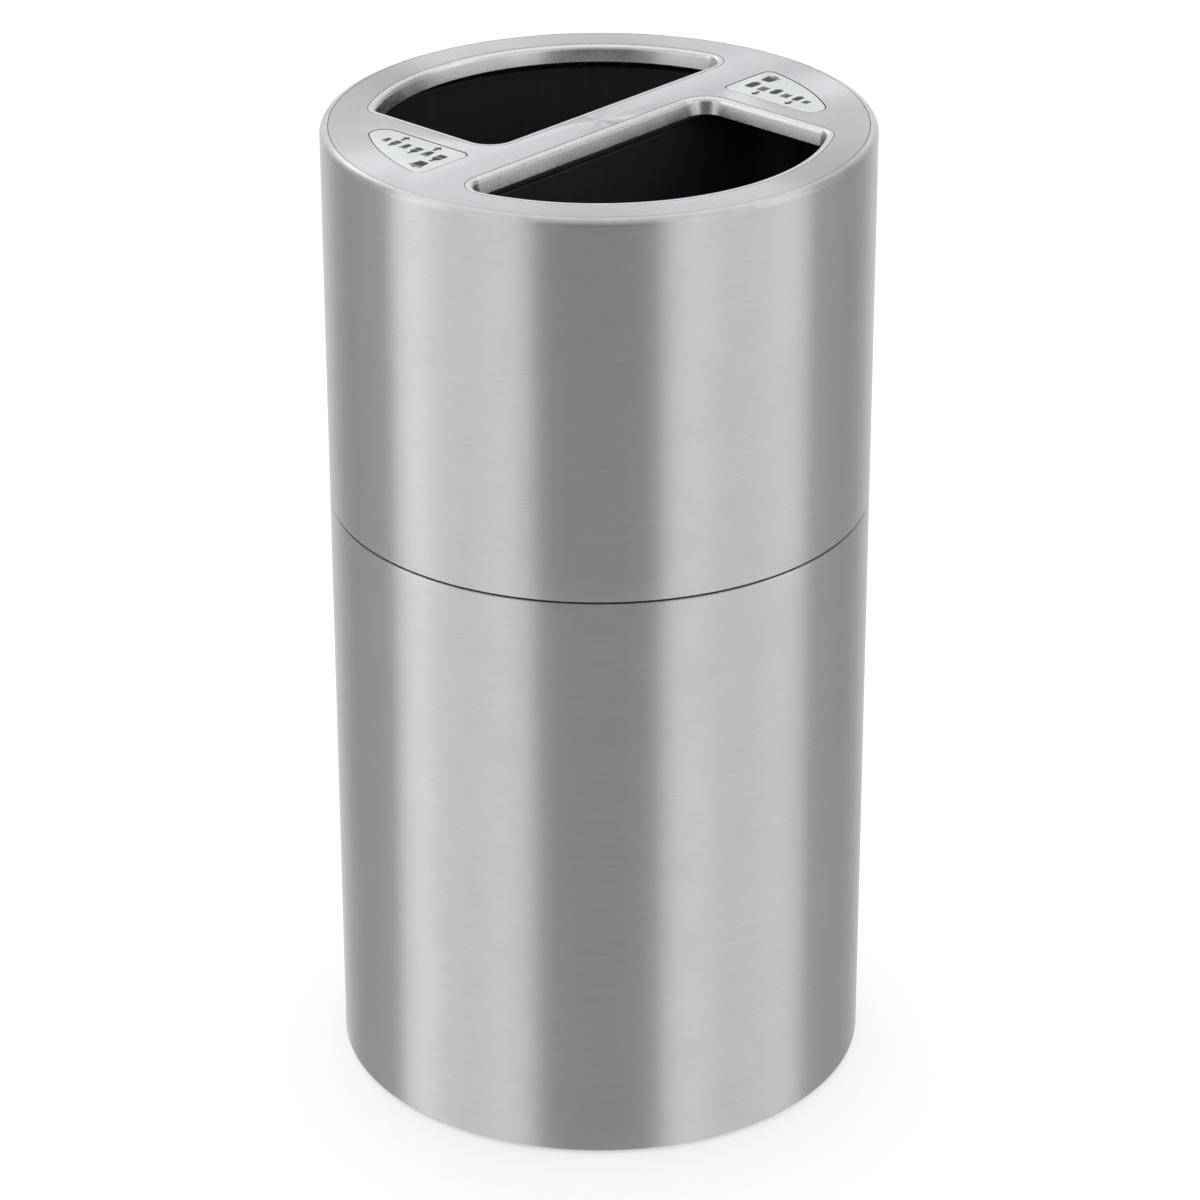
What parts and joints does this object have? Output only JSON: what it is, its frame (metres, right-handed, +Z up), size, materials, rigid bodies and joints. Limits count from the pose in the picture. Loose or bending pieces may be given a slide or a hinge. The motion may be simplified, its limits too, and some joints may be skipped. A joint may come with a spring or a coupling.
{
  "type": "recycling bin station",
  "caption": "Round free-standing two-stream recycling bin: lift-off metal top with half-round deposit openings over half-round liners in a metal drum.",
  "frame": {"origin": "centre of the drum at floor level", "axes": "+Z up, X along the bar between the two deposit openings, +Y over the plastics liner"},
  "size_m": [0.508, 0.508, 0.945],
  "materials": {
    "brushed_aluminium": "satin, brushed around the drum, clear coated",
    "mill_aluminium": "mill",
    "label_aluminium": "matt anodised with printed pictograms",
    "black_plastic": "fine moulded grain",
    "black_rubber": "matt",
    "zinc_steel": "zinc plated"
  },
  "bodies": {
    "base": {"lower_shell": "brushed_aluminium", "locating_collar": "mill_aluminium", "seam_gasket": "black_rubber", "base_pan": "mill_aluminium", "foot_1": "black_rubber", "foot_2": "black_rubber", "foot_3": "black_rubber", "foot_4": "black_rubber", "foot_screw_1": "zinc_steel", "foot_screw_2": "zinc_steel", "foot_screw_3": "zinc_steel", "foot_screw_4": "zinc_steel"},
    "lid": {"upper_shell": "brushed_aluminium", "top_plate": "brushed_aluminium", "plastics_label_plate": "label_aluminium", "cans_label_plate": "label_aluminium", "hold_down_stud_1": "zinc_steel", "hold_down_stud_2": "zinc_steel", "hold_down_stud_3": "zinc_steel", "hold_down_stud_4": "zinc_steel", "hold_down_stud_5": "zinc_steel", "hold_down_stud_6": "zinc_steel"},
    "plastics_bin": {"plastics_liner": "black_plastic"},
    "cans_bin": {"cans_liner": "black_plastic"}
  },
  "joints": [
    {"name": "lid_lift", "type": "slide", "parent": "base", "child": "lid", "axis": [0, 0, 1], "range_m": [0, 0.95]},
    {"name": "plastics_liner_lift", "type": "slide", "parent": "base", "child": "plastics_bin", "axis": [0, 0, 1], "range_m": [0, 0.62]},
    {"name": "cans_liner_lift", "type": "slide", "parent": "base", "child": "cans_bin", "axis": [0, 0, 1], "range_m": [0, 0.62]}
  ],
  "couplings": [
    {"joint": "plastics_liner_lift", "follows": "lid_lift", "ratio": 0.65},
    {"joint": "cans_liner_lift", "follows": "lid_lift", "ratio": 0.65}
  ]
}
